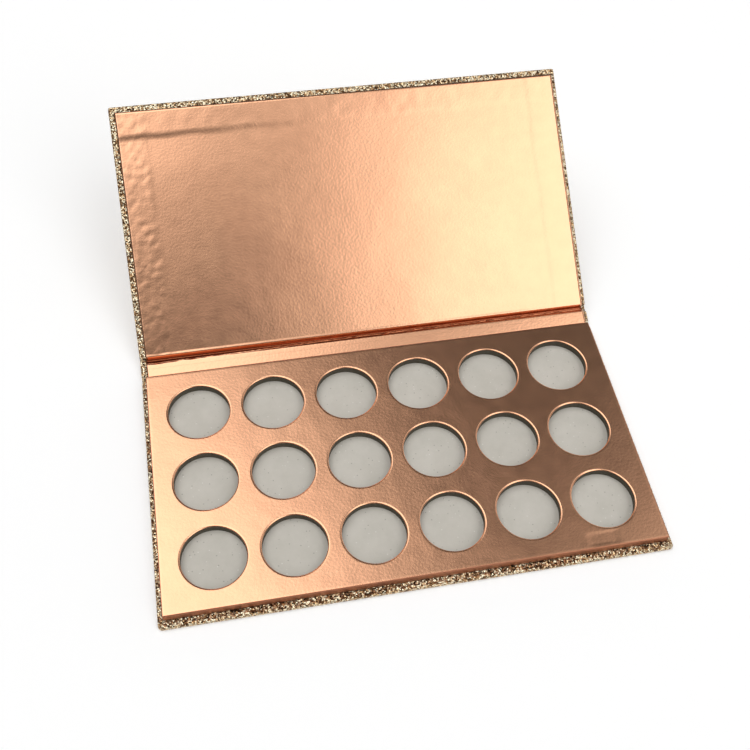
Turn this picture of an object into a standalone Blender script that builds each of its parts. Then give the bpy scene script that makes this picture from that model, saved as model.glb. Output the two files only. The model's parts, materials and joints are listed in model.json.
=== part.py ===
"""An empty eyeshadow palette: a paper-wrapped board case that opens like a book, with a tray of round wells.

X is the width, +Y points to the back, where the hinge is, and +Z is up. The origin is on the underside,
below the centre of the grid of wells. The lid is modelled open, as it stands on a table.
"""

import math

import bmesh
import bpy
from mathutils import Vector

MM = 0.001

# The sheet materials
PAPER = 0.2 * MM  # glitter paper and rose-gold paper
GLUE = 0.2 * MM  # the gap at every glue line
PANEL_BOARD = 1.2 * MM  # greyboard in the base, the spine and the lid
GRID_BOARD = 1.5 * MM  # each of the two die-cut greyboards of the tray
FLOOR_BOARD = 0.5 * MM  # the thin greyboard under the wells

# The wells
WELL_COLUMNS = 6
WELL_ROWS = 3
WELL_DIAMETER = 27 * MM  # takes a standard 26 mm pan
WELL_PITCH_X = 33 * MM
WELL_PITCH_Y = 35 * MM
WELL_SEGMENTS = 32

# The tray
TRAY_WIDTH = 209 * MM
TRAY_DEPTH = 113.6 * MM
TRAY_CORNER = 0.8 * MM
FLANGE_START = 51.5 * MM  # front of the foil strip glued to the base, behind the last row of wells

# The case
CASE_WIDTH = 213.6 * MM
BASE_FRONT = -60.0 * MM
LID_DEPTH = 116.3 * MM
BASE_CORNER = 1.7 * MM  # plan radius of the front corners
LID_CORNER = 1.0 * MM
CORNER_SEGMENTS = 5
EDGE_ROUND = 0.45 * MM  # how far the paper rounds over a board's edge
EDGE_SEGMENTS = 2
TURN_IN = 15 * MM  # how far the glitter paper turns in over a board
LINER_SIDE_MARGIN = 2.2 * MM
LINER_FRONT_MARGIN = 2.8 * MM
LINER_SHIFT = 0.5 * MM  # the liner is glued slightly off centre

# The hinge: two creases, one either side of the spine
CREASE_Y = 59.5 * MM  # the lower crease
CREASE_HEIGHT = PAPER / 2  # a crease lies in the middle of the outer paper
CLOSING_GAP = 0.3 * MM  # between the tray and the closed lid
BASE_SETBACK = 2.4 * MM  # from the lower crease to the edge of the base
SPINE_START = 1.3 * MM  # from the lower crease to the edge of the spine
SPINE_SETBACK = 2.5 * MM  # from the upper crease to the edge of the spine
LID_SETBACK = 1.5 * MM  # from the upper crease to the edge of the lid
SPINE_ANGLE = math.radians(20)  # above the table, with the palette open
LID_ANGLE = math.radians(32.6)
CREASE_STEPS = 6  # faces along a bent strip
FOIL_SAG = 0.4 * MM  # how far the foil dips over the lower crease

# The magnets that hold the lid shut
MAGNET_SIZE = Vector((12, 5, 1)) * MM
MAGNET_X = 77 * MM
MAGNET_FRONT = 7 * MM  # from the base's front edge to a magnet's centre
POCKET_GAP = 0.3 * MM
MAGNET_EDGE = 0.15 * MM

# Heights, from the outer face of the base, the spine or the lid
BOARD_BOTTOM = PAPER + GLUE
BOARD_TOP = BOARD_BOTTOM + PANEL_BOARD
WRAP_TOP = BOARD_TOP + GLUE + PAPER
LINER_BOTTOM = WRAP_TOP + GLUE
LINER_TOP = LINER_BOTTOM + PAPER

# Heights in the tray, from the table
TRAY_BOTTOM = WRAP_TOP + GLUE
FLOOR_TOP = TRAY_BOTTOM + FLOOR_BOARD
LOWER_GRID_BOTTOM = FLOOR_TOP + GLUE
UPPER_GRID_BOTTOM = LOWER_GRID_BOTTOM + GRID_BOARD + GLUE
COVER_BOTTOM = UPPER_GRID_BOTTOM + GRID_BOARD + GLUE
TRAY_TOP = COVER_BOTTOM + PAPER

# Lengths that follow from the ones above
BASE_DEPTH = CREASE_Y - BASE_SETBACK - BASE_FRONT
CREASE_SPACING = TRAY_TOP + CLOSING_GAP + LINER_TOP - 2 * CREASE_HEIGHT
SPINE_END = CREASE_SPACING - SPINE_SETBACK
TRAY_INSET = PAPER + GLUE  # from the outside of the tray's cover to its boards
PAST = 1 * MM  # how far a cutter reaches past what it cuts
CLOSE = 0.001 * MM  # two places nearer than this are the same

FOIL_COLOUR = (0.80, 0.47, 0.33, 1)
GLITTER_COLOUR = (0.52, 0.33, 0.22, 1)
GREYBOARD_COLOUR = (0.45, 0.44, 0.41, 1)
MAGNET_COLOUR = (0.60, 0.60, 0.62, 1)


def clear_scene():
    for thing in list(bpy.data.objects):
        bpy.data.objects.remove(thing, do_unlink=True)
    for collection in list(bpy.data.collections):
        bpy.data.collections.remove(collection)


def new_collection(name):
    collection = bpy.data.collections.new(name)
    bpy.context.scene.collection.children.link(collection)
    return collection


def new_material(name, colour, roughness, metallic):
    material = bpy.data.materials.new(name)
    material.use_nodes = True
    shader = material.node_tree.nodes["Principled BSDF"]
    shader.inputs["Base Color"].default_value = colour
    shader.inputs["Roughness"].default_value = roughness
    shader.inputs["Metallic"].default_value = metallic
    material.diffuse_color = colour
    return material


clear_scene()
PARTS = new_collection("eyeshadow_palette")
CUTTERS = new_collection("cutters")
FOIL = new_material("rose_gold_paper", FOIL_COLOUR, 0.3, 1.0)
GLITTER = new_material("glitter_paper", GLITTER_COLOUR, 0.5, 0.6)
GREYBOARD = new_material("greyboard", GREYBOARD_COLOUR, 0.9, 0.0)
NICKEL = new_material("magnet_nickel", MAGNET_COLOUR, 0.3, 1.0)


def place(thing, pivot):
    """Hangs an object on a pivot, or leaves it in the palette's own frame."""
    if pivot:
        thing.parent = pivot
    return thing


def block(name, low, high, pivot=None):
    """A box between two opposite corners, with its size in its mesh."""
    bpy.ops.mesh.primitive_cube_add(size=1)
    thing = bpy.context.object
    thing.name = name
    thing.data.name = name
    low, high = Vector(low), Vector(high)
    for vertex in thing.data.vertices:
        share = vertex.co + Vector((0.5, 0.5, 0.5))
        vertex.co = low + Vector(a * b for a, b in zip(share, high - low))
    for old in list(thing.users_collection):
        old.objects.unlink(thing)
    PARTS.objects.link(thing)
    return place(thing, pivot)


def from_bmesh(name, mesh, pivot=None):
    data = bpy.data.meshes.new(name)
    mesh.to_mesh(data)
    mesh.free()
    thing = bpy.data.objects.new(name, data)
    PARTS.objects.link(thing)
    return place(thing, pivot)


def round_edges(thing, chosen, radius, segments):
    """Rounds the edges for which chosen(first end, second end) is true."""
    mesh = bmesh.new()
    mesh.from_mesh(thing.data)
    edges = [e for e in mesh.edges if chosen(e.verts[0].co, e.verts[1].co)]
    bmesh.ops.bevel(mesh, geom=edges, offset=radius, segments=segments, profile=0.5, affect="EDGES")
    mesh.to_mesh(thing.data)
    mesh.free()


def is_upright(a, b):
    return abs(a.z - b.z) > abs(a.x - b.x) + abs(a.y - b.y)


def cut(thing, cutter):
    """Takes the cutter's shape away from a part, and moves the cutter out of the parts."""
    modifier = thing.modifiers.new("cut_" + cutter.name, "BOOLEAN")
    modifier.operation = "DIFFERENCE"
    modifier.solver = "EXACT"
    modifier.object = cutter
    cutter.hide_render = True
    cutter.display_type = "WIRE"
    if cutter.name in PARTS.objects:
        PARTS.objects.unlink(cutter)
        CUTTERS.objects.link(cutter)


def finish(thing, material):
    thing.data.materials.clear()
    thing.data.materials.append(material)
    thing.data.shade_smooth()
    thing.data.set_sharp_from_angle(angle=math.radians(30))
    return thing


def make_pivot(name, location, rotation):
    """An empty on a crease. Its +Y runs away from the crease over the panel that hangs on it."""
    pivot = bpy.data.objects.new(name, None)
    pivot.location = location
    pivot.rotation_euler = rotation
    PARTS.objects.link(pivot)
    return pivot


def spine_point(distance, height):
    """(y, z) of a point on the open spine, from its distance past the lower crease and its height."""
    y = CREASE_Y + distance * math.cos(SPINE_ANGLE) - height * math.sin(SPINE_ANGLE)
    z = CREASE_HEIGHT + distance * math.sin(SPINE_ANGLE) + height * math.cos(SPINE_ANGLE)
    return Vector((y, z))


def lid_point(distance, height):
    """(y, z) of a point on the open lid, from its distance past the upper crease and its height."""
    crease = spine_point(CREASE_SPACING, 0)
    y = crease.x + distance * math.cos(LID_ANGLE) - height * math.sin(LID_ANGLE)
    z = crease.y + distance * math.sin(LID_ANGLE) + height * math.cos(LID_ANGLE)
    return Vector((y, z))


# Panels hang on a pivot: y is the distance past the crease, and z = -CREASE_HEIGHT is the outer face.


def panel_slab(name, setback, depth, inset, low, high, corner, pivot, hinge_reach=0):
    """A panel's slab, inset all round but at the hinge, with its two free corners rounded in plan."""
    half = CASE_WIDTH / 2 - inset
    free_edge = setback + depth - inset
    slab = block(
        name,
        (-half, setback - hinge_reach, low - CREASE_HEIGHT),
        (half, free_edge, high - CREASE_HEIGHT),
        pivot,
    )
    round_edges(
        slab,
        lambda a, b: is_upright(a, b) and abs(a.y - free_edge) < CLOSE,
        corner - inset,
        CORNER_SEGMENTS,
    )
    return slab


def panel_wrap(name, setback, depth, corner, pivot):
    """Glitter paper round a panel: the outer sheet, its folded edges and its turn-ins, open at the hinge."""
    shell = panel_slab(name, setback, depth, 0, 0, WRAP_TOP, corner, pivot)
    faces = (-CREASE_HEIGHT, WRAP_TOP - CREASE_HEIGHT)

    def at_rim(a, b):
        level = any(abs(a.z - z) < CLOSE and abs(b.z - z) < CLOSE for z in faces)
        at_hinge = abs(a.y - setback) < CLOSE and abs(b.y - setback) < CLOSE
        return level and not at_hinge

    round_edges(shell, at_rim, EDGE_ROUND, EDGE_SEGMENTS)
    inside = (PAPER, WRAP_TOP - PAPER)
    cavity = panel_slab(name + "_cavity", setback, depth, PAPER, *inside, corner, pivot, PAST)
    cut(shell, cavity)
    window_half = CASE_WIDTH / 2 - TURN_IN
    window = block(
        name + "_window",
        (-window_half, setback - PAST, BOARD_TOP - CREASE_HEIGHT),
        (window_half, setback + depth - TURN_IN, WRAP_TOP + PAST),
        pivot,
    )
    cut(shell, window)
    return finish(shell, GLITTER)


def panel_board(name, setback, depth, corner, pivot):
    board = panel_slab(name, setback, depth, PAPER + GLUE, BOARD_BOTTOM, BOARD_TOP, corner, pivot)
    return finish(board, GREYBOARD)


def spine_slab(name, inset, low, high, pivot, reach=0):
    half = CASE_WIDTH / 2 - inset
    return block(
        name,
        (-half, SPINE_START - reach, low - CREASE_HEIGHT),
        (half, SPINE_END + reach, high - CREASE_HEIGHT),
        pivot,
    )


def well_cutter():
    """One cylinder for each well, all in one object."""
    low, high = FLOOR_TOP, TRAY_TOP + PAST
    mesh = bmesh.new()
    for row in range(WELL_ROWS):
        for column in range(WELL_COLUMNS):
            x = (column - (WELL_COLUMNS - 1) / 2) * WELL_PITCH_X
            y = (row - (WELL_ROWS - 1) / 2) * WELL_PITCH_Y
            made = bmesh.ops.create_cone(
                mesh,
                cap_ends=True,
                segments=WELL_SEGMENTS,
                radius1=WELL_DIAMETER / 2,
                radius2=WELL_DIAMETER / 2,
                depth=high - low,
            )
            bmesh.ops.translate(mesh, verts=made["verts"], vec=(x, y, (low + high) / 2))
    return from_bmesh("well_cutter", mesh)


def tray_slab(name, inset, low, high):
    half_x = TRAY_WIDTH / 2 - inset
    half_y = TRAY_DEPTH / 2 - inset
    slab = block(name, (-half_x, -half_y, low), (half_x, half_y, high))
    round_edges(slab, is_upright, TRAY_CORNER - inset, CORNER_SEGMENTS - 2)
    return slab


def tray_cover(wells):
    """The rose-gold sheet over the tray, with its four sides turned down to the base."""
    cover = tray_slab("tray_foil_cover", 0, TRAY_BOTTOM, TRAY_TOP)
    round_edges(cover, lambda a, b: min(a.z, b.z) > TRAY_TOP - CLOSE, PAPER * 0.9, 1)
    cut(cover, tray_slab("tray_cover_inside", PAPER, TRAY_BOTTOM - PAST, COVER_BOTTOM))
    cut(cover, wells)
    half_x = TRAY_WIDTH / 2 - PAPER
    flange_slot = block(
        "tray_cover_flange_slot",
        (-half_x, TRAY_DEPTH / 2 - PAST, TRAY_BOTTOM - PAST),
        (half_x, TRAY_DEPTH / 2 + PAST, LINER_TOP + GLUE),
    )
    cut(cover, flange_slot)
    return finish(cover, FOIL)


def bent_strip(name, start, control, end, width, material, shift=0):
    """A strip of paper along X. Its section runs from start to end along a curve pulled by control."""
    section = []
    for n in range(CREASE_STEPS + 1):
        t = n / CREASE_STEPS
        section.append((1 - t) ** 2 * start + 2 * t * (1 - t) * control + t**2 * end)
    mesh = bmesh.new()
    left = [mesh.verts.new((shift - width / 2, p.x, p.y)) for p in section]
    right = [mesh.verts.new((shift + width / 2, p.x, p.y)) for p in section]
    for n in range(CREASE_STEPS):
        mesh.faces.new((left[n], right[n], right[n + 1], left[n + 1]))
    strip = from_bmesh(name, mesh)
    thick = strip.modifiers.new("paper", "SOLIDIFY")
    thick.thickness = PAPER
    thick.offset = 0
    thick.use_even_offset = True
    return finish(strip, material)


def make_magnets(name, y, low, pivot=None):
    """A magnet at the left and one at the right, each in a node of its own."""
    half = MAGNET_SIZE / 2
    for side, x in (("left", -MAGNET_X), ("right", MAGNET_X)):
        bar = block(
            f"{name}_magnet_{side}",
            (x - half.x, y - half.y, low),
            (x + half.x, y + half.y, low + MAGNET_SIZE.z),
            pivot,
        )
        bevel = bar.modifiers.new("edges", "BEVEL")
        bevel.width = MAGNET_EDGE
        bevel.segments = 1
        finish(bar, NICKEL)


def magnet_pockets(name, y, low, high, pivot=None):
    """A pocket for each of a pair of magnets, in one object."""
    mesh = bmesh.new()
    for x in (-MAGNET_X, MAGNET_X):
        made = bmesh.ops.create_cube(mesh, size=1)
        size = (MAGNET_SIZE.x + 2 * POCKET_GAP, MAGNET_SIZE.y + 2 * POCKET_GAP, high - low)
        bmesh.ops.scale(mesh, verts=made["verts"], vec=size)
        bmesh.ops.translate(mesh, verts=made["verts"], vec=(x, y, (low + high) / 2))
    return from_bmesh(name, mesh, pivot)


def make_base(pivot):
    """The wrapped base board, which lies on the table in front of the lower crease."""
    panel_wrap("base_glitter_wrap", BASE_SETBACK, BASE_DEPTH, BASE_CORNER, pivot)
    panel_board("base_board", BASE_SETBACK, BASE_DEPTH, BASE_CORNER, pivot)


def make_tray():
    """The boards with the wells and their cover, glued on the base."""
    half_x = TRAY_WIDTH / 2 - TRAY_INSET
    half_y = TRAY_DEPTH / 2 - TRAY_INSET
    floor_back = FLANGE_START - GLUE
    floor = block("tray_floor_board", (-half_x, -half_y, TRAY_BOTTOM), (half_x, floor_back, FLOOR_TOP))
    finish(floor, GREYBOARD)
    flange = block("base_foil_flange", (-half_x, FLANGE_START, LINER_BOTTOM), (half_x, half_y, LINER_TOP))
    finish(flange, FOIL)

    wells = well_cutter()
    lower_top = LOWER_GRID_BOTTOM + GRID_BOARD
    lower = tray_slab("tray_grid_board_lower", TRAY_INSET, LOWER_GRID_BOTTOM, lower_top)
    cut(lower, wells)
    finish(lower, GREYBOARD)
    upper_top = UPPER_GRID_BOTTOM + GRID_BOARD
    upper = tray_slab("tray_grid_board_upper", TRAY_INSET, UPPER_GRID_BOTTOM, upper_top)
    cut(upper, wells)
    magnet_y = BASE_FRONT + MAGNET_FRONT
    cut(upper, magnet_pockets("tray_magnet_pockets", magnet_y, UPPER_GRID_BOTTOM - PAST, upper_top + PAST))
    finish(upper, GREYBOARD)
    make_magnets("tray", magnet_y, upper_top - MAGNET_SIZE.z)
    tray_cover(wells)


def make_spine(pivot):
    """The narrow wrapped panel between the creases, with the liner over it."""
    shell = spine_slab("spine_glitter_wrap", 0, 0, WRAP_TOP, pivot)
    cut(shell, spine_slab("spine_wrap_cavity", PAPER, PAPER, WRAP_TOP - PAPER, pivot, PAST))
    cut(shell, spine_slab("spine_wrap_window", TURN_IN, BOARD_TOP, WRAP_TOP + PAST, pivot, PAST))
    finish(shell, GLITTER)
    board = spine_slab("spine_board", PAPER + GLUE, BOARD_BOTTOM, BOARD_TOP, pivot)
    finish(board, GREYBOARD)
    liner = spine_slab("spine_foil_liner", LINER_SIDE_MARGIN, LINER_BOTTOM, LINER_TOP, pivot)
    liner.location.x = LINER_SHIFT
    finish(liner, FOIL)


def make_lid(pivot):
    """The lid beyond the upper crease: its wrapped board, the liner glued inside it, and its magnets."""
    panel_wrap("lid_glitter_wrap", LID_SETBACK, LID_DEPTH, LID_CORNER, pivot)
    board = panel_board("lid_board", LID_SETBACK, LID_DEPTH, LID_CORNER, pivot)
    # with the lid shut, its magnets lie over those of the tray
    magnet_y = CREASE_Y - BASE_FRONT - MAGNET_FRONT
    cut(board, magnet_pockets("lid_magnet_pockets", magnet_y, 0, BOARD_TOP + PAST, pivot))
    make_magnets("lid", magnet_y, BOARD_TOP - CREASE_HEIGHT - MAGNET_SIZE.z, pivot)
    half = CASE_WIDTH / 2 - LINER_SIDE_MARGIN
    liner = block(
        "lid_foil_liner",
        (LINER_SHIFT - half, LID_SETBACK, LINER_BOTTOM - CREASE_HEIGHT),
        (LINER_SHIFT + half, LID_SETBACK + LID_DEPTH - LINER_FRONT_MARGIN, LINER_TOP - CREASE_HEIGHT),
        pivot,
    )
    finish(liner, FOIL)


def make_hinge_strips():
    """The paper and the foil where they cross the two creases. They bend when the palette moves."""
    foil_height = (LINER_BOTTOM + LINER_TOP) / 2 - CREASE_HEIGHT
    groove_height = BOARD_BOTTOM
    liner_width = CASE_WIDTH - 2 * LINER_SIDE_MARGIN
    base_back = CREASE_Y - BASE_SETBACK
    lower_crease = Vector((CREASE_Y, CREASE_HEIGHT))
    bent_strip(
        "lower_hinge_paper",
        Vector((base_back + GLUE, CREASE_HEIGHT)),
        lower_crease,
        spine_point(SPINE_START - GLUE, 0),
        CASE_WIDTH,
        GLITTER,
    )
    bent_strip(
        "lower_hinge_foil",
        Vector((TRAY_DEPTH / 2 - PAPER, CREASE_HEIGHT + foil_height)),
        Vector(((base_back + CREASE_Y) / 2, CREASE_HEIGHT + foil_height - FOIL_SAG)),
        spine_point(SPINE_START - GLUE, foil_height),
        TRAY_WIDTH - 2 * TRAY_INSET,
        FOIL,
    )
    bent_strip(
        "upper_hinge_paper",
        spine_point(SPINE_END + GLUE, 0),
        spine_point(CREASE_SPACING, 0),
        lid_point(LID_SETBACK - GLUE, 0),
        CASE_WIDTH,
        GLITTER,
    )
    bent_strip(
        "upper_hinge_foil",
        spine_point(SPINE_END + GLUE, foil_height),
        spine_point(CREASE_SPACING, -groove_height),
        lid_point(LID_SETBACK - GLUE, foil_height),
        liner_width,
        FOIL,
        LINER_SHIFT,
    )


def main():
    lower_crease = (0, CREASE_Y, CREASE_HEIGHT)
    base = make_pivot("base_pivot", lower_crease, (0, 0, math.pi))
    spine = make_pivot("lower_crease", lower_crease, (SPINE_ANGLE, 0, 0))
    upper = spine_point(CREASE_SPACING, 0)
    lid = make_pivot("upper_crease", (0, upper.x, upper.y), (LID_ANGLE, 0, 0))
    make_base(base)
    make_tray()
    make_spine(spine)
    make_lid(lid)
    make_hinge_strips()


main()
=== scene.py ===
"""The looks of an empty eyeshadow palette: glitter-paper case, rose-gold foil inside, greyboard wells.

X is the width, +Y points to the back, where the hinge is, and +Z is up. Lengths are in metres, and MM turns
millimetres into metres. Every sheet of paper is built from grids of points, called patches, that meet edge to
edge, and carries a flat map of itself, in metres, that its material is drawn on.
"""

import json
import math

import bmesh
import bpy
import numpy as np
from mathutils import Matrix, Vector, noise


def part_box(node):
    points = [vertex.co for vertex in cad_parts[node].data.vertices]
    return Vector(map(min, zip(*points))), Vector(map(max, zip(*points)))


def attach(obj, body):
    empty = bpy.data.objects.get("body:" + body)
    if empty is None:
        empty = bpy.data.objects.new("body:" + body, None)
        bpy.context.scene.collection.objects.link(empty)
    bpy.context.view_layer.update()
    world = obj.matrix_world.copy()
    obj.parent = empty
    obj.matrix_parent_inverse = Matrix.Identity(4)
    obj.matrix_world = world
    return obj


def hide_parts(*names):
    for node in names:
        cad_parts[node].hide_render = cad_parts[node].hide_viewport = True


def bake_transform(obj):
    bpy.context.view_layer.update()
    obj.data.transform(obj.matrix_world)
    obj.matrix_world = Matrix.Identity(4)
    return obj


MM = 0.001
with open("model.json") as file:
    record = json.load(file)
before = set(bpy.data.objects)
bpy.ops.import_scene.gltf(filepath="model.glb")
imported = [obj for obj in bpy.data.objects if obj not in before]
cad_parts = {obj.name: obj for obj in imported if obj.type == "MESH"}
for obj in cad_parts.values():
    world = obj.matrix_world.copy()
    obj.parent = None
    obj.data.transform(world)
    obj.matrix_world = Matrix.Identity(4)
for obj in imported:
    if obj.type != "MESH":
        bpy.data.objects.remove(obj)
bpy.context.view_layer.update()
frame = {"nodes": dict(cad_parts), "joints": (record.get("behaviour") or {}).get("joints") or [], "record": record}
RECORD = frame["record"]

# The creases and the slopes of the spine and the lid, from the frame
JOINTS = {joint["name"]: joint for joint in frame["joints"]}
LOWER_CREASE = Vector(JOINTS["base_crease"]["pos_m"])
UPPER_CREASE = Vector(JOINTS["lid_crease"]["pos_m"])
CREASE_SPACING = (UPPER_CREASE - LOWER_CREASE).length
MIDDLE_OF_SPINE = CREASE_SPACING / 2
SPINE_ANGLE = math.atan2(UPPER_CREASE.z - LOWER_CREASE.z, UPPER_CREASE.y - LOWER_CREASE.y)
LID_NORMAL = Vector(next(m["axis"] for m in RECORD["mounts"] if m["name"] == "lid_outer_face"))
LID_ANGLE = math.atan2(LID_NORMAL.y, -LID_NORMAL.z)

# Sheets and heights above the outer face of the case
PAPER = 0.2 * MM
CREASE_HEIGHT = LOWER_CREASE.z
WRAP_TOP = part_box("base_glitter_wrap")[1].z
LINER_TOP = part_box("base_foil_flange")[1].z
FOLDED_PAPER = 0.5 * MM  # the wrap and its turn-in where nothing stiffens them, at the creases
STIFF_EDGE = 0.4 * MM  # over this length the paper runs down off a board
BEND_GAP = 0.4 * MM  # the paper starts to bend this far from a board

# The tray and its wells
TRAY_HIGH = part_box("tray_foil_cover")[1]
WELLS = [(Vector(o["box_m"][0]) + Vector(o["box_m"][1])) / 2 for o in RECORD["physics"]["openings"]]
WELL_XS = sorted({round(w.x, 6) for w in WELLS})
WELL_YS = sorted({round(w.y, 6) for w in WELLS})
PITCH = (WELL_XS[1] - WELL_XS[0], WELL_YS[1] - WELL_YS[0])
WELL_RADIUS = 13.5 * MM
RIM_BEND = 1.1 * MM  # the radius at which the cover bends down into a well
RIM_TURN = 48  # degrees that it bends through before it drops straight down
RIM_REACH = 0.42 * MM  # how far it reaches down into a well
EDGE_BEND = 0.4 * MM  # where the cover turns down over the tray's sides
CELL_STEPS = 24  # points along each side of a well's cell
RING_STEPS = 8  # rings from a well's rim to the sides of its cell
RING_CROWDING = 1.3  # above 1, the rings are closer together near the rim
BEND_STEPS = 6  # steps round each bend of the cover
CORNER_FAN = (15, 30, 45, 60, 75)  # the directions at a tray's corner, in degrees from its first side's
RIM_CRUSH = 0.6 * MM  # how far the upper board's rims are pressed down
RIM_WEAR = 0.2 * MM  # the height of the steep slope between a board's crushed rim and its wall
GLUE_LINE = 0.1 * MM  # each grid board reaches this far into the gaps above and below it

# The case
CASE_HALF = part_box("base_glitter_wrap")[1].x
TURN_IN = 15 * MM  # how far the glitter paper turns in over a board
EDGE_ROUND = 0.6 * MM  # how round the paper's edges are, seen from the end
BASE_CORNER = 1.7 * MM  # how round the corners are, seen from above
LID_CORNER = 1.0 * MM
LINER_LOW, LINER_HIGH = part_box("lid_foil_liner")

# Foil: its two tones, how rough it is, and the depth of the orange peel that the board shows through it
FOIL_TONES = ((0.87, 0.465, 0.278), (0.84, 0.44, 0.262))
# Painted shade: the tray's turned-down sides get darker tones, standing in for the shade at their foot and the
# dark glitter they reflect
SIDE_PAINTED_SHADE_TONES = ((0.48, 0.20, 0.11), (0.42, 0.17, 0.095))
# Painted shade: a darker, redder tone for the foil in the upper groove, standing in for the shade and the repeated
# foil-on-foil reflections there
GROOVE_PAINTED_SHADE_TONE = (0.46, 0.165, 0.08)
FOIL_ROUGHNESS = 0.22
FOLDED_ROUGHNESS = 0.42
FINE_PEEL = 0.026 * MM
SLOW_PEEL = 0.012 * MM
FLAKE = 0.6 * MM  # the size of a flake of glitter

# The camera
CAMERA_PLACE = Vector((-64.0, -205.7, 379.9)) * MM
CAMERA_TARGET = Vector((-1.0, 46.5, 0.0)) * MM
CAMERA_ROLL = math.radians(4.3)
CAMERA_LENS = 47.6  # on a 36 mm sensor


def smooth(t):
    """0 below 0, 1 above 1, and an S-curve between."""
    t = np.clip(t, 0, 1)
    return t * t * (3 - 2 * t)


def ripple(x, y, size, seed):
    """Smooth noise between about -1 and 1 at each of many points, with bumps about size across."""
    points = np.stack(np.broadcast_arrays(x / size, y / size, float(seed)), axis=-1)
    values = [noise.noise(p) for p in points.reshape(-1, 3).tolist()]
    return np.array(values).reshape(points.shape[:-1]) * 2


def spread(first, last, step):
    """Evenly spaced values from first to last, both included, about step apart."""
    count = max(1, round(abs(last - first) / step))
    return np.linspace(first, last, count + 1)


def arc(centre, radius, start, end, count):
    """Points on an arc, with its angles in degrees."""
    turn = np.radians(np.linspace(start, end, count + 1))
    return np.stack([centre[0] + radius * np.cos(turn), centre[1] + radius * np.sin(turn)], axis=1)


def rounded(points, times=3):
    """Rounds a line's corners by cutting them, again and again."""
    line = np.array(points, float)
    for _ in range(times):
        near = line[:-1] * 0.75 + line[1:] * 0.25
        far = line[:-1] * 0.25 + line[1:] * 0.75
        middle = np.stack([near, far], axis=1).reshape(-1, line.shape[1])
        line = np.concatenate([line[:1], middle, line[-1:]])
    return line


def lengths_along(line):
    """The distance along a line at each of its points."""
    return np.concatenate([[0], np.cumsum(np.linalg.norm(np.diff(line, axis=0), axis=1))])


class Patches:
    """Grids of points that become one mesh, with its flat map as UVs."""

    def __init__(self):
        self.points = []
        self.flat = []
        self.faces = []
        self.materials = []

    def add(self, points, flat, flip=False, material=0):
        """points is a grid of places, and flat the same grid of (u, v). The face is on the side where rows
        run to the left of columns, or on the other side with flip."""
        rows, columns = points.shape[:2]
        corner = len(self.points) + np.arange(rows * columns).reshape(rows, columns)
        around = [corner[:-1, :-1], corner[:-1, 1:], corner[1:, 1:], corner[1:, :-1]]
        faces = np.stack(around[::-1] if flip else around, axis=-1).reshape(-1, 4)
        self.points.extend(points.reshape(-1, 3).tolist())
        self.flat.extend(flat.reshape(-1, 2).tolist())
        self.faces.extend(faces.tolist())
        self.materials.extend([material] * len(faces))

    def build(self, name, merge=0.002 * MM):
        mesh = bmesh.new()
        layer = mesh.loops.layers.uv.new("flat")
        vertices = [mesh.verts.new(p) for p in self.points]
        for corners, material in zip(self.faces, self.materials):
            face = mesh.faces.new([vertices[n] for n in corners])
            face.material_index = material
            face.smooth = True
            for loop, n in zip(face.loops, corners):
                loop[layer].uv = self.flat[n]
        bmesh.ops.remove_doubles(mesh, verts=mesh.verts, dist=merge)
        bmesh.ops.dissolve_degenerate(mesh, edges=mesh.edges, dist=merge)
        data = bpy.data.meshes.new(name)
        mesh.to_mesh(data)
        mesh.free()
        data.set_sharp_from_angle(angle=math.radians(50))
        thing = bpy.data.objects.new(name, data)
        bpy.context.scene.collection.objects.link(thing)
        return thing


def thicken(thing):
    """Gives an open sheet of paper its thickness, behind its face."""
    modifier = thing.modifiers.new("thickness", "SOLIDIFY")
    modifier.thickness = PAPER
    modifier.offset = -1
    modifier.use_quality_normals = True


# ---------------------------------------------------------------- materials


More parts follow.
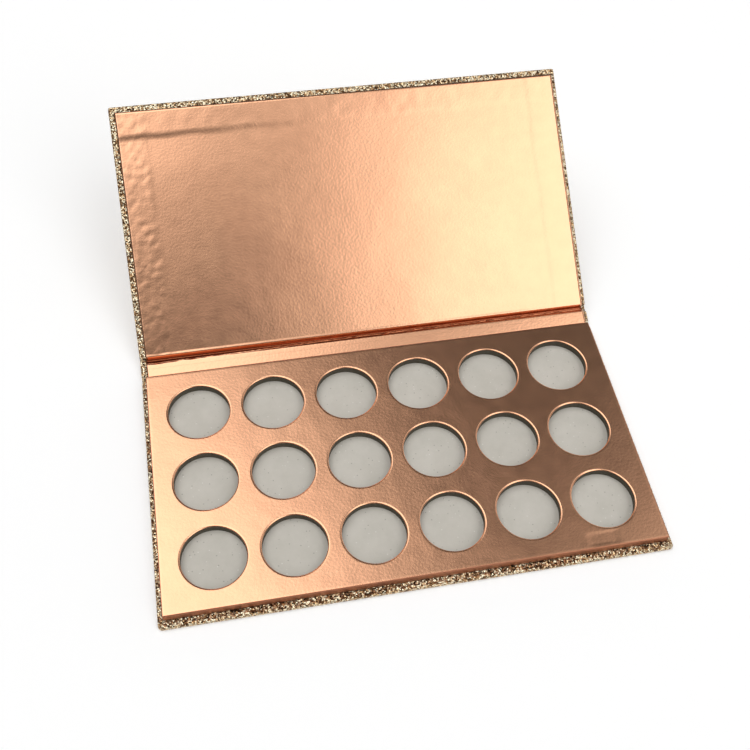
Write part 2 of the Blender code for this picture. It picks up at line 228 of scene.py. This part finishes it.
class Nodes:
    """A short way to write the nodes of a material or a world."""

    def __init__(self, owner):
        owner.use_nodes = True
        self.owner = owner
        self.tree = owner.node_tree

    def put(self, socket, value):
        if isinstance(value, bpy.types.NodeSocket):
            self.tree.links.new(value, socket)
        elif isinstance(value, tuple) and len(value) == 3 and socket.type == "RGBA":
            socket.default_value = (*value, 1)
        else:
            socket.default_value = value

    def add(self, kind, inputs=(), **settings):
        """Adds a node. settings are its properties, and inputs goes from a socket's name or number to a
        value."""
        node = self.tree.nodes.new(kind)
        for key, value in settings.items():
            setattr(node, key, value)
        for key, value in dict(inputs).items():
            self.put(node.inputs[key], value)
        return node

    def shader(self, **values):
        """Sets the sockets of the Principled BSDF, with _ for a space in their names."""
        shader = self.tree.nodes["Principled BSDF"]
        for key, value in values.items():
            self.put(shader.inputs[key.replace("_", " ")], value)

    def math(self, operation, first, second=0.0):
        return self.add("ShaderNodeMath", {0: first, 1: second}, operation=operation).outputs[0]

    def vector(self, operation, first, second=(0, 0, 0)):
        return self.add("ShaderNodeVectorMath", {0: first, 1: second}, operation=operation).outputs[0]

    def flat_map(self):
        """The place on the flat sheet, in metres."""
        return self.add("ShaderNodeUVMap", uv_map="flat").outputs["UV"]

    def place(self):
        """The place on the object, in metres."""
        return self.add("ShaderNodeTexCoord").outputs["Object"]

    def noise(self, place, size, detail=2.0, roughness=0.5):
        inputs = {"Vector": place, "Scale": 1 / size, "Detail": detail, "Roughness": roughness}
        return self.add("ShaderNodeTexNoise", inputs).outputs[0]

    def cells(self, place, size, feature="F1", dimensions="2D"):
        inputs = {"Vector": place, "Scale": 1 / size}
        return self.add("ShaderNodeTexVoronoi", inputs, feature=feature, voronoi_dimensions=dimensions)

    def ramp(self, factor, *stops, interpolation="LINEAR"):
        """stops are pairs of a position and a grey or a colour."""
        node = self.add("ShaderNodeValToRGB", {0: factor})
        node.color_ramp.interpolation = interpolation
        elements = node.color_ramp.elements
        elements.remove(elements[1])
        for n, (position, colour) in enumerate(stops):
            element = elements.new(position) if n else elements[0]
            element.position = position
            element.color = (*colour, 1) if isinstance(colour, tuple) else (colour, colour, colour, 1)
        return node.outputs["Color"]

    def step(self, value, start, end):
        """0 where value is at start, 1 at end, and an S-curve between."""
        inputs = {"Value": value, 1: start, 2: end}
        return self.add("ShaderNodeMapRange", inputs, interpolation_type="SMOOTHSTEP").outputs[0]

    def mix(self, factor, first, second):
        node = self.add("ShaderNodeMix", data_type="RGBA")
        for name, value in zip(("Factor_Float", "A_Color", "B_Color"), (factor, first, second)):
            self.put(next(s for s in node.inputs if s.identifier == name), value)
        return next(s for s in node.outputs if s.identifier == "Result_Color")

    def bump(self, height, distance, strength=1.0, normal=None):
        inputs = {"Height": height, "Distance": distance, "Strength": strength}
        if normal:
            inputs["Normal"] = normal
        return self.add("ShaderNodeBump", inputs).outputs["Normal"]


def new_material(name):
    return Nodes(bpy.data.materials.new(name))


def foil_material(name, tones, roughness, groove=None):
    """Rose-gold metallised paper, in two tones that differ a little. groove is a start and an end along the flat
    sheet, between which the tone is painted darker and redder, a painted shade for the groove's shade and its
    repeated reflections."""
    n = new_material(name)
    flat = n.flat_map()
    bright, dull = tones
    tone = n.ramp(n.noise(flat, 30 * MM, 3), (0.3, dull), (0.7, bright))
    if groove:
        along = n.add("ShaderNodeSeparateXYZ", {0: flat}).outputs["Y"]
        into = n.step(along, groove[0], groove[0] + 0.8 * MM)
        out = n.step(along, groove[1], groove[1] - 0.4 * MM)
        # Painted shade: between the groove's start and end the tone turns darker and redder
        tone = n.mix(n.math("MULTIPLY", into, out), tone, GROOVE_PAINTED_SHADE_TONE)
    rough = n.ramp(n.noise(flat, 6 * MM, 3), (0.3, roughness - 0.015), (0.7, roughness + 0.015))
    fine = n.bump(n.noise(flat, 1.2 * MM, 1.0), FINE_PEEL)
    slow = n.bump(n.noise(flat, 4 * MM, 0.0), SLOW_PEEL, 1.0, fine)
    n.shader(Base_Color=tone, Metallic=1.0, Roughness=rough, Normal=slow)
    return n.owner


def glitter_material():
    """Glitter paper: cream, gold and brown flakes on dark glue, each tilted its own way."""
    n = new_material("glitter_paper")
    flat = n.flat_map()
    flakes = n.cells(flat, FLAKE)
    gaps = n.cells(flat, FLAKE, "DISTANCE_TO_EDGE").outputs["Distance"]
    tint = n.add("ShaderNodeSeparateColor", {0: flakes.outputs["Color"]}).outputs["Blue"]
    glue, brown, bronze = (0.05, 0.024, 0.014), (0.10, 0.045, 0.02), (0.42, 0.22, 0.09)
    gold, cream = (0.90, 0.62, 0.34), (1.0, 0.90, 0.66)
    colour = n.ramp(tint, (0.0, brown), (0.32, bronze), (0.5, gold), (0.85, cream))
    on_flake = n.ramp(gaps, (0.03, 0.0), (0.09, 1.0))
    n.shader(Base_Color=n.mix(on_flake, glue, colour))
    n.shader(Metallic=n.ramp(on_flake, (0.0, 0.0), (1.0, 0.92)))
    n.shader(Roughness=n.ramp(on_flake, (0.0, 0.8), (1.0, 0.28)))
    lean = n.vector("SUBTRACT", flakes.outputs["Color"], (0.5, 0.5, 0.5))
    lean = n.vector("MULTIPLY", lean, (1.1, 1.1, 1.1))
    upright = n.add("ShaderNodeNewGeometry").outputs["Normal"]
    tilted = n.vector("NORMALIZE", n.vector("ADD", upright, lean))
    n.shader(Normal=n.bump(gaps, 0.08 * MM, 1.0, tilted))
    return n.owner


def greyboard_material():
    """Recycled grey board: mottled, with light and dark specks and fibres."""
    n = new_material("greyboard")
    place = n.place()
    grey, pale = (0.60, 0.57, 0.505), (0.67, 0.635, 0.57)
    mottle = n.ramp(n.noise(place, 9 * MM, 5, 0.6), (0.3, grey), (0.7, pale))
    specks = n.cells(place, 1.5 * MM, dimensions="3D")
    draw = n.add("ShaderNodeSeparateColor", {0: specks.outputs["Color"]})
    near = n.ramp(specks.outputs["Distance"], (0.08, 0.8), (0.22, 0.0))
    chosen = n.ramp(draw.outputs["Red"], (0.0, 0.0), (0.6, 1.0), interpolation="CONSTANT")
    dark, light = (0.30, 0.28, 0.24), (0.85, 0.83, 0.78)
    tone = n.ramp(draw.outputs["Green"], (0.0, dark), (0.6, light), interpolation="CONSTANT")
    n.shader(Base_Color=n.mix(n.math("MULTIPLY", near, chosen), mottle, tone), Roughness=0.92)
    n.shader(Specular_IOR_Level=0.25)
    n.shader(Normal=n.bump(n.noise(place, 0.6 * MM, 4, 0.65), 0.05 * MM, 0.8))
    return n.owner


def cut_edge_material():
    """The die-cut edge of grey board, dark and in thin layers that run round the wall."""
    n = new_material("greyboard_cut_edge")
    layered = n.vector("MULTIPLY", n.place(), (1, 1, 9))
    layers = n.noise(layered, 1.1 * MM, 4, 0.6)
    dark, light = (0.07, 0.06, 0.045), (0.17, 0.155, 0.12)
    n.shader(Base_Color=n.ramp(layers, (0.3, dark), (0.7, light)), Roughness=0.95)
    n.shader(Specular_IOR_Level=0.2)
    n.shader(Normal=n.bump(layers, 0.06 * MM))
    return n.owner


def nickel_material():
    """The plated magnets, slightly brushed."""
    n = new_material("magnet_nickel")
    brushed = n.noise(n.vector("MULTIPLY", n.place(), (1, 8, 8)), 1.5 * MM, 3)
    dull, bright = (0.55, 0.55, 0.57), (0.65, 0.65, 0.67)
    n.shader(Base_Color=n.ramp(brushed, (0.3, dull), (0.7, bright)), Metallic=1.0)
    n.shader(Roughness=n.ramp(brushed, (0.3, 0.25), (0.7, 0.4)), Normal=n.bump(brushed, 0.01 * MM))
    return n.owner


FOIL = foil_material("rose_gold_paper", FOIL_TONES, FOIL_ROUGHNESS)
# Foil with painted shade, for the tray's turned-down sides
SIDE_FOIL_PAINTED_SHADE = foil_material("rose_gold_paper_sides_painted_shade", SIDE_PAINTED_SHADE_TONES, FOLDED_ROUGHNESS)
GLITTER = glitter_material()
GREYBOARD = greyboard_material()
CUT_EDGE = cut_edge_material()
NICKEL = nickel_material()


def paint(thing, *materials):
    """Gives a new mesh its materials, or a CAD node its one material."""
    slots = thing.data.materials
    for n, material in enumerate(materials):
        if n < len(slots):
            slots[n] = material
        else:
            slots.append(material)


# ---------------------------------------------------------------- the tray


def cell_rim(centre):
    """Points round the four sides of a well's cell, against the clock. The last repeats the first."""
    corners = np.array([(-1, -1), (1, -1), (1, 1), (-1, 1), (-1, -1)]) * np.array(PITCH) / 2
    share = np.linspace(0, 1, CELL_STEPS + 1)[:-1, None]
    sides = [a * (1 - share) + b * share for a, b in zip(corners, corners[1:])]
    return np.concatenate([*sides, corners[:1]]) + np.array(centre)


def side_loop(xs, ys):
    """Points round the rectangle of grid lines xs and ys, against the clock, each with its outward direction.
    Each corner is there several times, with directions that fan out round it."""
    places, directions = [], []
    sides = [
        (xs, [ys[0]] * len(xs), 270),
        ([xs[-1]] * len(ys), ys, 0),
        (xs[::-1], [ys[-1]] * len(xs), 90),
        ([xs[0]] * len(ys), ys[::-1], 180),
    ]
    for side_xs, side_ys, angle in sides:
        corner = (side_xs[-1], side_ys[-1])
        turns = [angle] * len(side_xs) + [angle + a for a in CORNER_FAN]
        places.extend([*zip(side_xs, side_ys), *[corner] * len(CORNER_FAN)])
        directions.extend((math.cos(math.radians(a)), math.sin(math.radians(a))) for a in turns)
    places.append(places[0])
    directions.append(directions[0])
    return np.array(places), np.array(directions)


def tray_sheet(half, rim, edge, relief, wall_materials, underside=False):
    """A sheet the size of the tray, with its eighteen holes.

    rim is the section of a hole's wall, from the top down, as pairs of a radius and a height. edge is the
    section of the outer sides, as pairs of a distance in from half and a height. relief(x, y) raises the
    sheet. wall_materials are those of the holes and of the outer sides. With underside, the sections return
    under the sheet to where they start, and it is a closed board.
    """
    rim, edge = np.array(rim), np.array(edge)
    inner = np.array(half) - edge[0, 0]
    xs = np.linspace(WELL_XS[0] - PITCH[0] / 2, WELL_XS[-1] + PITCH[0] / 2, CELL_STEPS * len(WELL_XS) + 1)
    ys = np.linspace(WELL_YS[0] - PITCH[1] / 2, WELL_YS[-1] + PITCH[1] / 2, CELL_STEPS * len(WELL_YS) + 1)
    margin_x = spread(-inner[0], xs[0], 1.0 * MM)
    margin_y = spread(-inner[1], ys[0], 1.0 * MM)
    patches = Patches()

    def level(plan, height, flip):
        points = np.concatenate([plan, (height + relief(plan[..., 0], plan[..., 1]))[..., None]], axis=-1)
        patches.add(points, plan, flip)

    def both_faces(plan, flip):
        level(plan, rim[0, 1], flip)
        if underside:
            level(plan, rim[-1, 1], not flip)

    columns = (margin_x, xs, -margin_x[::-1])
    rows = (margin_y, ys, -margin_y[::-1])
    for across, x_lines in enumerate(columns):
        for along, y_lines in enumerate(rows):
            if across != 1 or along != 1:
                both_faces(np.stack(np.meshgrid(x_lines, y_lines), axis=-1), False)

    for well in WELLS:
        centre = np.array(well[:2])
        around = cell_rim(centre) - centre
        reach = np.linalg.norm(around, axis=1)
        direction = around / reach[:, None]
        share = np.linspace(0, 1, RING_STEPS + 1)[:, None] ** RING_CROWDING
        radii = rim[0, 0] * (1 - share) + reach[None, :] * share
        both_faces(centre + direction[None] * radii[..., None], True)
        plan = centre + direction[None] * rim[:, 0, None, None]
        heights = np.repeat(rim[:, 1, None], len(direction), axis=1)
        heights = heights + relief(plan[..., 0], plan[..., 1])
        flat = centre + direction[None] * (rim[0, 0] - lengths_along(rim))[:, None, None]
        patches.add(np.concatenate([plan, heights[..., None]], axis=-1), flat, False, wall_materials[0])

    all_xs = np.concatenate([margin_x[:-1], xs, -margin_x[::-1][1:]])
    all_ys = np.concatenate([margin_y[:-1], ys, -margin_y[::-1][1:]])
    places, directions = side_loop(all_xs, all_ys)
    outward = edge[0, 0] - edge[:, 0]
    plan = places[None] + directions[None] * outward[:, None, None]
    heights = edge[:, 1, None] + relief(places[:, 0], places[:, 1])[None, :]
    flat = places[None] + directions[None] * lengths_along(edge)[:, None, None]
    patches.add(np.concatenate([plan, heights[..., None]], axis=-1), flat, True, wall_materials[1])
    return patches


def turned_down(start, low, bend, turn):
    """A section that bends down through turn degrees as distances shrink to start, then runs straight
    down."""
    top = TRAY_HIGH.z
    across = start + bend * math.sin(math.radians(turn))
    bent = arc((across, top - bend), bend, 90, 90 + turn, BEND_STEPS)
    return [*bent.tolist(), *([start, h] for h in spread(bent[-1, 1], low, 0.8 * MM)[1:])]


def cover_relief(x, y):
    """The cover is not quite flat: slow waves, and the outline of a magnet near the front right corner."""
    waves = 0.035 * MM * ripple(x, y, 24 * MM, 3.3) + 0.012 * MM * ripple(x, y, 7 * MM, 8.1)
    low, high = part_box("tray_magnet_right")
    past = np.maximum(np.abs(x - (low.x + high.x) / 2) - (high.x - low.x) / 2, 0)
    past = np.maximum(past, np.abs(y - (low.y + high.y) / 2) - (high.y - low.y) / 2)
    sunk = 1 - smooth(past / (1.0 * MM))
    return waves - 0.10 * MM * sunk


def make_cover():
    """The rose-gold sheet over the tray, pressed down at every well and turned down at the sides."""
    rim = turned_down(WELL_RADIUS, TRAY_HIGH.z - RIM_REACH, RIM_BEND, RIM_TURN)
    edge = turned_down(0, LINER_TOP, EDGE_BEND, 90)
    patches = tray_sheet((TRAY_HIGH.x, TRAY_HIGH.y), rim, edge, cover_relief, (0, 1))
    cover = patches.build("tray_cover")
    thicken(cover)
    # The outer sides take the foil with painted shade
    paint(cover, FOIL, SIDE_FOIL_PAINTED_SHADE)
    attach(cover, "base")
    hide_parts("tray_foil_cover")


def make_grid_board(name, node, radius, crushed):
    """A die-cut board with fine round holes. crushed is how far its upper rims are pressed down."""
    low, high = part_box(node)

    def no_relief(x, y):
        return 0 * x

    top = high.z + GLUE_LINE
    bottom = low.z - GLUE_LINE
    wall_top = top - crushed - RIM_WEAR
    rim = [(radius + crushed + 0.3 * MM, top), (radius + 0.1 * MM, top - crushed), (radius, wall_top)]
    rim += [(radius, h) for h in spread(wall_top, bottom, 0.4 * MM)[1:]]
    rim += [(rim[0][0], bottom)]
    edge = [(0.5 * MM, top), (0, top), (0, bottom), (0.5 * MM, bottom)]
    board = tray_sheet((high.x, high.y), rim, edge, no_relief, (1, 1), True).build(name)
    paint(board, GREYBOARD, CUT_EDGE)
    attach(board, "base")
    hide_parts(node)


# ---------------------------------------------------------------- the case


class Hinge:
    """One of the two creases. Distances run from base to spine to lid, and are 0 on the crease. before and
    after are the slopes on its two sides, and the stiff panels end at start and begin again at end."""

    def __init__(self, crease, before, after, start, end, bodies):
        self.crease = crease
        self.before = before
        self.after = after
        self.edges = (start, end)
        self.start = start + BEND_GAP
        self.end = end - BEND_GAP
        self.bodies = bodies

    def place(self, x, distance, height):
        """The place of a point, from its distance along the sheet and its height above the outer face."""
        x, distance, height = np.broadcast_arrays(x, distance, height)
        bent = smooth((distance - self.start) / (self.end - self.start))
        angle = self.before + (self.after - self.before) * bent
        lift = height - CREASE_HEIGHT
        y = self.crease.y + distance * np.cos(angle) - lift * np.sin(angle)
        z = self.crease.z + distance * np.sin(angle) + lift * np.cos(angle)
        return np.stack([x, y, z], axis=-1)

    def bend(self, piece):
        """Bakes a piece's placement into its mesh."""
        start = self.place(0.0, self.start, CREASE_HEIGHT)
        end = self.place(0.0, self.end, CREASE_HEIGHT)
        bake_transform(piece)


def span_of(node, crease, angle):
    """How far from a crease a node starts and ends, along a panel that slopes at angle."""
    along = Vector((0, math.cos(angle), math.sin(angle)))
    ways = [(v.co - crease).dot(along) for v in frame["nodes"][node].data.vertices]
    return min(ways), max(ways)


BASE_SPAN = span_of("base_glitter_wrap", LOWER_CREASE, 0)
SPINE_SPAN = span_of("spine_foil_liner", LOWER_CREASE, SPINE_ANGLE)
LID_SPAN = span_of("lid_glitter_wrap", UPPER_CREASE, LID_ANGLE)
LINER_SPAN = span_of("lid_foil_liner", UPPER_CREASE, LID_ANGLE)
LOWER_HINGE = Hinge(LOWER_CREASE, 0.0, SPINE_ANGLE, BASE_SPAN[1], SPINE_SPAN[0], ("base", "spine"))
UPPER_HINGE = Hinge(
    UPPER_CREASE, SPINE_ANGLE, LID_ANGLE, SPINE_SPAN[1] - CREASE_SPACING, LID_SPAN[0], ("spine", "lid")
)


def wrap_thickness(hinge, distance):
    """From the outer face to the turned-in face, at a distance from the crease. It is thin where no board
    stiffens it."""
    before = smooth((hinge.edges[0] + STIFF_EDGE - distance) / STIFF_EDGE)
    after = smooth((distance - hinge.edges[1] + STIFF_EDGE) / STIFF_EDGE)
    return FOLDED_PAPER + (WRAP_TOP - FOLDED_PAPER) * np.maximum(before, after)


def wrap_section(thickness):
    """The wrap's section at its edge, from the end of the turn-in to the outer face. Each row has the
    distance in from the edge and the height at each place along the edge."""
    bend = np.minimum(EDGE_ROUND, thickness / 2)
    rows = []
    for inset in (TURN_IN, 12 * MM, 9 * MM, 7 * MM, 5.5 * MM, 4 * MM, 3 * MM, 2 * MM, 1.2 * MM):
        rows.append((inset, thickness))
    for turn in np.radians(np.linspace(0, 90, 5)):
        rows.append((EDGE_ROUND * (1 - math.sin(turn)), thickness - bend * (1 - math.cos(turn))))
    for turn in np.radians(np.linspace(0, 90, 5)):
        rows.append((EDGE_ROUND * (1 - math.cos(turn)), bend * (1 - math.sin(turn))))
    for inset in (1.4 * MM, 3 * MM, 6 * MM):
        rows.append((inset, 0 * thickness))
    return rows


def make_wrap(name, hinge, side, reach, corner, nodes):
    """Half of the case's glitter paper: a panel, its crease and half of the spine. side is -1 for the base,
    which lies before its crease, and 1 for the lid."""
    close, wide = 2.4 * MM, 6 * MM  # points are close together before the first, wide apart past the second
    over_crease = spread(-MIDDLE_OF_SPINE, close, 0.3 * MM)
    beside_it = spread(close, wide, 1.2 * MM)[1:]
    over_panel = spread(wide, reach - corner, 5 * MM)[1:]
    along = np.concatenate([over_crease, beside_it, over_panel])
    fan = np.radians(np.linspace(180, 90, 6))[1:-1]
    across = spread(-CASE_HALF + corner, CASE_HALF - corner, 6 * MM)

    def ring(inset, past):
        """The outline, moved in by inset, and its flat map, past beyond the edge."""
        blunt = max(inset, corner)
        left = [(-CASE_HALF + inset, min(t, reach - blunt)) for t in along]
        if inset < corner:
            middle = np.array((-CASE_HALF + corner, reach - corner))
            left += [tuple(middle + (corner - inset) * np.array((math.cos(a), math.sin(a)))) for a in fan]
        else:
            left += [(-CASE_HALF + inset, reach - inset)] * len(fan)
        front = [(float(np.clip(x, -CASE_HALF + blunt, CASE_HALF - blunt)), reach - inset) for x in across]
        right = [(-x, t) for x, t in left[::-1]]
        flat_left = [(-CASE_HALF - past, p[1]) for p in left[: len(along)]]
        grown = corner + past
        turned = []
        for a in fan:
            turned.append((-CASE_HALF + corner + grown * math.cos(a), reach - corner + grown * math.sin(a)))
        flat_front = [(p[0], reach + past) for p in front]
        flat_right = [(-u, v) for u, v in (flat_left + turned)[::-1]]
        return np.array(left + front + right), np.array(flat_left + turned + flat_front + flat_right)

    probe, _ = ring(0, 0)
    thickness = wrap_thickness(hinge, side * probe[:, 1])
    rows = wrap_section(thickness)
    widest = [(inset, float(np.max(height))) for inset, height in rows]
    ways = lengths_along(np.array(widest))
    outer = ways[-1] - rows[-1][0]
    points, maps = [], []
    for (inset, height), way in zip(rows, ways):
        outline, flat = ring(inset, outer - way)
        points.append(hinge.place(outline[:, 0], side * outline[:, 1], height))
        maps.append(flat)
    patches = Patches()
    patches.add(np.array(points), np.array(maps), side < 0)

    last, _ = ring(rows[-1][0], 0)
    ts = last[: len(along), 1]
    xs = last[len(along) + len(fan) : len(along) + len(fan) + len(across), 0]
    x, t = np.meshgrid(xs, ts)
    patches.add(hinge.place(x, side * t, 0.0), np.stack([x, t], axis=-1), side > 0)
    wrap = patches.build(name)
    thicken(wrap)
    paint(wrap, GLITTER)
    hinge.bend(wrap)
    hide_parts(*nodes)


def lid_relief(x, distance):
    """The liner shows the wrap's turn-in under it as a step, and the board and the glue as waves."""
    wander = 0.5 * MM * ripple(x, distance, 18 * MM, 5.2)
    across = (x + CASE_HALF) / (2 * CASE_HALF)
    past = 0.8 * MM + wander - TURN_IN  # added to the way in from a side: how far past the turn-in
    from_left = smooth((x + CASE_HALF + past) / (2.5 * MM))
    from_right = smooth((CASE_HALF - x + past) / (2.0 * MM))
    below_turn_in = LID_SPAN[1] - distance + past
    from_top = smooth(below_turn_in / (1.4 * MM))
    crease = (1 - smooth(across / 0.55)) * (1 - smooth(below_turn_in / (20 * MM)))
    steps = 0.04 * MM * from_left + 0.06 * MM * from_right + from_top * (0.05 + 0.22 * crease) * MM
    waves = 0.04 * MM * ripple(x, distance, 26 * MM, 1.7) + 0.005 * MM * ripple(x, distance, 8 * MM, 4.4)
    lumps = (1 - from_left) * 0.04 * MM * ripple(x, distance, 2.2 * MM, 9.6)
    lumps = lumps + (1 - from_top) * 0.02 * MM * ripple(x, distance, 5 * MM, 3.9)
    fade = smooth((distance - LID_SPAN[0]) / (1.5 * MM))
    return fade * (np.maximum(waves + lumps, -0.1 * MM) - steps)


def crinkle(x, distance):
    """A wavy pleat of foil along the upper groove, nearer the spine at the left."""
    share = (x + CASE_HALF) / (2 * CASE_HALF)
    line = (-2.1 + 1.4 * smooth(share * 2)) * MM + 0.16 * MM * ripple(x, 0.0, 5 * MM, 2.2)
    tall = (0.5 + 0.2 * ripple(x, 0.0, 3.2 * MM, 6.8)) * MM
    narrow = 0.28 * MM
    return tall * np.exp(-(((distance - line) / narrow) ** 2))


def liner_grid(hinge, profile, relief, lid_end=None):
    """A strip of foil along a hinge. profile is its section, as pairs of distance and height in millimetres,
    and with lid_end the strip goes on flat as far as that."""
    section = rounded(np.array(profile) * MM)
    if lid_end:
        more = spread(section[-1, 0], lid_end, 1.1 * MM)[1:]
        section = np.concatenate([section, np.stack([more, np.full(len(more), section[-1, 1])], axis=1)])
    xs = spread(LINER_LOW.x, LINER_HIGH.x, 1.0 * MM)
    x = np.broadcast_to(xs[None, :], (len(section), len(xs)))
    distance = np.broadcast_to(section[:, :1], x.shape)
    height = section[:, 1:] + relief(x, distance)
    ways = np.broadcast_to(lengths_along(section)[:, None], x.shape)
    patches = Patches()
    patches.add(hinge.place(x, distance, height), np.stack([x, ways], axis=-1))
    return patches


def make_lower_liner():
    """The foil from under the tray, through the lower groove, to the middle of the spine."""
    top = LINER_TOP / MM
    start = (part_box("base_foil_flange")[0].y - LOWER_CREASE.y) / MM
    back, front = BASE_SPAN[1] / MM, SPINE_SPAN[0] / MM
    profile = [(start, top), (back - 0.8, top), (back + 0.1, top), (back + 0.45, 1.1), (back + 0.8, 0.75)]
    profile += [(front - 1.2, 0.75), (front - 0.85, 1.1), (front - 0.65, top), (front, top)]
    profile += [(MIDDLE_OF_SPINE / MM, top)]

    def relief(x, distance):
        groove = np.exp(-(((distance + 0.5 * MM) / (0.7 * MM)) ** 2))
        return groove * 0.10 * MM * ripple(x, distance, 4 * MM, 7.7)

    liner = liner_grid(LOWER_HINGE, profile, relief).build("liner_lower")
    thicken(liner)
    paint(liner, FOIL)
    LOWER_HINGE.bend(liner)
    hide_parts("base_foil_flange", "lower_hinge_foil", "spine_foil_liner")


def make_upper_liner():
    """The foil from the middle of the spine, through the upper groove, over the inside of the lid."""
    top = LINER_TOP / MM
    end, edge = UPPER_HINGE.edges[0] / MM, UPPER_HINGE.edges[1] / MM
    profile = [(-MIDDLE_OF_SPINE / MM, top), (end - 0.5, top)]
    profile += [(end + 0.15, top - 0.02), (end + 0.5, top - 0.3)]
    profile += [(end + 2.1, 0.68), (end + 2.35, 0.62), (edge - 1.35, 0.74)]
    profile += [(edge - 0.1, top - 0.3), (edge + 0.15, top - 0.02), (edge + 0.6, top), (edge + 1.5, top)]

    def relief(x, distance):
        return lid_relief(x, distance) + crinkle(x, distance)

    liner = liner_grid(UPPER_HINGE, profile, relief, LINER_SPAN[1]).build("liner_upper")
    thicken(liner)
    # Where the painted shade of the upper groove starts and ends on the flat sheet
    painted_shade_start = MIDDLE_OF_SPINE + UPPER_HINGE.edges[0] + 0.6 * MM
    painted_shade_end = MIDDLE_OF_SPINE + UPPER_HINGE.edges[1] + 1.0 * MM
    paint(liner, foil_material("rose_gold_paper_lid_painted_groove_shade", FOIL_TONES, FOIL_ROUGHNESS, (painted_shade_start, painted_shade_end)))
    UPPER_HINGE.bend(liner)
    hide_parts("upper_hinge_foil", "lid_foil_liner", "spine_foil_liner")


# ---------------------------------------------------------------- the stage


def make_floor():
    """A white floor that gives off a little light of its own."""
    half = 3.0
    patches = Patches()
    x, y = np.meshgrid([-half, half], [-half, half])
    patches.add(np.stack([x, y, 0 * x], axis=-1), np.stack([x, y], axis=-1))
    floor = patches.build("floor")
    n = new_material("white_floor")
    n.shader(Base_Color=(0.9, 0.9, 0.9), Roughness=0.9, Specular_IOR_Level=0.1)
    n.shader(Emission_Color=(1.0, 1.0, 1.0), Emission_Strength=0.24)
    paint(floor, n.owner)


def make_light():
    """Three soft ovals of light overhead, at the back left, the front right and the right, and a pale horizon
    that is brightest at the right and dim at the front."""
    world = bpy.data.worlds.new("studio")
    bpy.context.scene.world = world
    n = Nodes(world)
    n.tree.nodes.clear()
    direction = n.add("ShaderNodeTexCoord").outputs["Generated"]

    def softbox(centre, radii, soft, level):
        """An oval overhead, its brightness falling from level at its middle over soft of its radii."""
        offset = n.vector("SUBTRACT", direction, (*centre, 0))
        scaled = n.vector("MULTIPLY", offset, (1 / radii[0], 1 / radii[1], 0))
        away = n.add("ShaderNodeVectorMath", {0: scaled}, operation="LENGTH").outputs["Value"]
        return n.math("MULTIPLY", n.step(away, 1 + soft / 2, 1 - soft / 2), level)

    def along(way):
        """How far the direction points along way, from 0 to 1."""
        node = n.add("ShaderNodeVectorMath", {0: direction, 1: way}, operation="DOT_PRODUCT")
        return n.math("ADD", n.math("MULTIPLY", node.outputs["Value"], 0.5), 0.5)

    left = softbox((-0.28, 0.15), (0.40, 0.53), 0.66, 2.0)
    right = softbox((0.42, -0.46), (0.29, 0.41), 0.65, 2.0)
    fill = softbox((0.55, 0.15), (0.25, 0.25), 1.2, 0.8)
    ceiling = 0.09
    overhead = n.math("ADD", n.math("ADD", n.math("ADD", left, right), fill), ceiling)
    upward = n.add("ShaderNodeSeparateXYZ", {0: direction}).outputs["Z"]
    low = n.ramp(upward, (0.15, 1.0), (0.42, 0.0))
    sideways = n.ramp(along((1, 0, 0)), (0.1, 0.2), (0.5, 0.65), (0.85, 1.0))
    forwards = n.ramp(along((0, 1, 0)), (0.05, 0.06), (0.3, 0.5), (0.5, 1.0))
    horizon = n.math("MULTIPLY", n.math("MULTIPLY", sideways, forwards), 1.3)
    sky = n.mix(low, overhead, horizon)
    background = n.add("ShaderNodeBackground", {"Color": sky, "Strength": 1.0})
    output = n.add("ShaderNodeOutputWorld")
    n.tree.links.new(background.outputs[0], output.inputs["Surface"])


def make_camera():
    """The camera, aimed at its target and rolled a little."""
    data = bpy.data.cameras.new("camera")
    data.lens = CAMERA_LENS
    camera = bpy.data.objects.new("camera", data)
    bpy.context.scene.collection.objects.link(camera)
    aim = (CAMERA_TARGET - CAMERA_PLACE).to_track_quat("-Z", "Y").to_matrix().to_4x4()
    camera.matrix_world = Matrix.Translation(CAMERA_PLACE) @ aim @ Matrix.Rotation(CAMERA_ROLL, 4, "Z")
    bpy.context.scene.camera = camera


def paint_cad_nodes():
    """The boards and magnets that keep their CAD shapes."""
    for node in ("base_board", "spine_board", "lid_board", "tray_floor_board"):
        paint(frame["nodes"][node], GREYBOARD)
    for node in ("tray_magnet_left", "tray_magnet_right", "lid_magnet_left", "lid_magnet_right"):
        paint(frame["nodes"][node], NICKEL)


make_cover()
make_grid_board("grid_board_upper", "tray_grid_board_upper", WELL_RADIUS + 0.05 * MM, RIM_CRUSH)
make_grid_board("grid_board_lower", "tray_grid_board_lower", WELL_RADIUS, 0.0)
BASE_NODES = ("base_glitter_wrap", "lower_hinge_paper", "spine_glitter_wrap")
LID_NODES = ("lid_glitter_wrap", "upper_hinge_paper", "spine_glitter_wrap")
make_wrap("wrap_base", LOWER_HINGE, -1, -BASE_SPAN[0], BASE_CORNER, BASE_NODES)
make_wrap("wrap_lid", UPPER_HINGE, 1, LID_SPAN[1], LID_CORNER, LID_NODES)
make_lower_liner()
make_upper_liner()
paint_cad_nodes()
make_floor()
make_light()
make_camera()
bpy.context.scene.view_settings.view_transform = "Standard"
